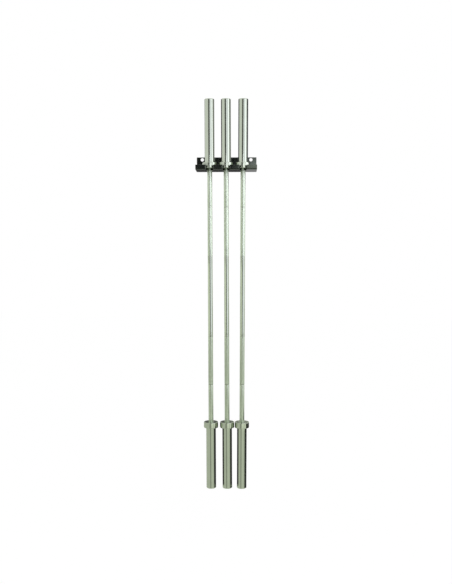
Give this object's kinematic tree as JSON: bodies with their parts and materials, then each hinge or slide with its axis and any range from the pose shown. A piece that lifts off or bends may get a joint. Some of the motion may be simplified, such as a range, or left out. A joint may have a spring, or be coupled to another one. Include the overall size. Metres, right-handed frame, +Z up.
{
  "type": "barbell storage rack",
  "caption": "Wall rack of bent black plate that hangs chrome weightlifting bars upright by their upper collars in front-open slots.",
  "frame": {"origin": "middle of the line through the two wall bolt holes, on the rack's wall face", "axes": "+Z up along the hanging bars, +Y into the wall, +X to the right seen from the front"},
  "size_m": [0.312, 0.151, 2.0101],
  "materials": {
    "black_paint": "semi-gloss black powder coat",
    "liner_plastic": "matt black slippery plastic",
    "sleeve_chrome": "bright hard chrome",
    "shaft_chrome": "satin hard chrome over knurling",
    "bushing_bronze": "oiled sintered bronze",
    "spring_steel": "blackened spring steel"
  },
  "bodies": {
    "rack": {"rack_bracket": "black_paint", "seat_liner_left": "liner_plastic", "seat_liner_middle": "liner_plastic", "seat_liner_right": "liner_plastic"},
    "bar_left": {"bar_left_shaft": "shaft_chrome", "bar_left_upper_retaining_ring": "spring_steel", "bar_left_lower_retaining_ring": "spring_steel"},
    "bar_left_upper_end": {"bar_left_upper_sleeve": "sleeve_chrome", "bar_left_upper_collar": "sleeve_chrome", "bar_left_upper_inner_bushing": "bushing_bronze", "bar_left_upper_outer_bushing": "bushing_bronze", "bar_left_upper_thrust_washer": "spring_steel", "bar_left_upper_end_cap": "sleeve_chrome"},
    "bar_left_lower_end": {"bar_left_lower_sleeve": "sleeve_chrome", "bar_left_lower_collar": "sleeve_chrome", "bar_left_lower_inner_bushing": "bushing_bronze", "bar_left_lower_outer_bushing": "bushing_bronze", "bar_left_lower_thrust_washer": "spring_steel", "bar_left_lower_end_cap": "sleeve_chrome"},
    "bar_middle": {"bar_middle_shaft": "shaft_chrome", "bar_middle_upper_retaining_ring": "spring_steel", "bar_middle_lower_retaining_ring": "spring_steel"},
    "bar_middle_upper_end": {"bar_middle_upper_sleeve": "sleeve_chrome", "bar_middle_upper_collar": "sleeve_chrome", "bar_middle_upper_inner_bushing": "bushing_bronze", "bar_middle_upper_outer_bushing": "bushing_bronze", "bar_middle_upper_thrust_washer": "spring_steel", "bar_middle_upper_end_cap": "sleeve_chrome"},
    "bar_middle_lower_end": {"bar_middle_lower_sleeve": "sleeve_chrome", "bar_middle_lower_collar": "sleeve_chrome", "bar_middle_lower_inner_bushing": "bushing_bronze", "bar_middle_lower_outer_bushing": "bushing_bronze", "bar_middle_lower_thrust_washer": "spring_steel", "bar_middle_lower_end_cap": "sleeve_chrome"},
    "bar_right": {"bar_right_shaft": "shaft_chrome", "bar_right_upper_retaining_ring": "spring_steel", "bar_right_lower_retaining_ring": "spring_steel"},
    "bar_right_upper_end": {"bar_right_upper_sleeve": "sleeve_chrome", "bar_right_upper_collar": "sleeve_chrome", "bar_right_upper_inner_bushing": "bushing_bronze", "bar_right_upper_outer_bushing": "bushing_bronze", "bar_right_upper_thrust_washer": "spring_steel", "bar_right_upper_end_cap": "sleeve_chrome"},
    "bar_right_lower_end": {"bar_right_lower_sleeve": "sleeve_chrome", "bar_right_lower_collar": "sleeve_chrome", "bar_right_lower_inner_bushing": "bushing_bronze", "bar_right_lower_outer_bushing": "bushing_bronze", "bar_right_lower_thrust_washer": "spring_steel", "bar_right_lower_end_cap": "sleeve_chrome"}
  },
  "joints": [
    {"name": "bar_left_lift_out", "type": "slide", "parent": "rack", "child": "bar_left", "axis": [0, -0.4226, 0.9063], "range_m": [0, 0.24]},
    {"name": "bar_left_upper_sleeve_spin", "type": "hinge", "parent": "bar_left", "child": "bar_left_upper_end", "pos_m": [-0.085, -0.1, -0.05425], "axis": [-0.004, 0, 1], "continuous": true},
    {"name": "bar_left_lower_sleeve_spin", "type": "hinge", "parent": "bar_left", "child": "bar_left_lower_end", "pos_m": [-0.07972, -0.1, -1.36424], "axis": [-0.004, 0, 1], "continuous": true},
    {"name": "bar_middle_lift_out", "type": "slide", "parent": "rack", "child": "bar_middle", "axis": [0, -0.4226, 0.9063], "range_m": [0, 0.24]},
    {"name": "bar_middle_upper_sleeve_spin", "type": "hinge", "parent": "bar_middle", "child": "bar_middle_upper_end", "pos_m": [-0.00099, -0.1, -0.05425], "axis": [-0.004, 0, 1], "continuous": true},
    {"name": "bar_middle_lower_sleeve_spin", "type": "hinge", "parent": "bar_middle", "child": "bar_middle_lower_end", "pos_m": [0.00429, -0.1, -1.36424], "axis": [-0.004, 0, 1], "continuous": true},
    {"name": "bar_right_lift_out", "type": "slide", "parent": "rack", "child": "bar_right", "axis": [0, -0.4226, 0.9063], "range_m": [0, 0.24]},
    {"name": "bar_right_upper_sleeve_spin", "type": "hinge", "parent": "bar_right", "child": "bar_right_upper_end", "pos_m": [0.08544, -0.1, -0.05425], "axis": [0.0031, 0, 1], "continuous": true},
    {"name": "bar_right_lower_sleeve_spin", "type": "hinge", "parent": "bar_right", "child": "bar_right_lower_end", "pos_m": [0.08137, -0.1, -1.36424], "axis": [0.0031, 0, 1], "continuous": true}
  ]
}
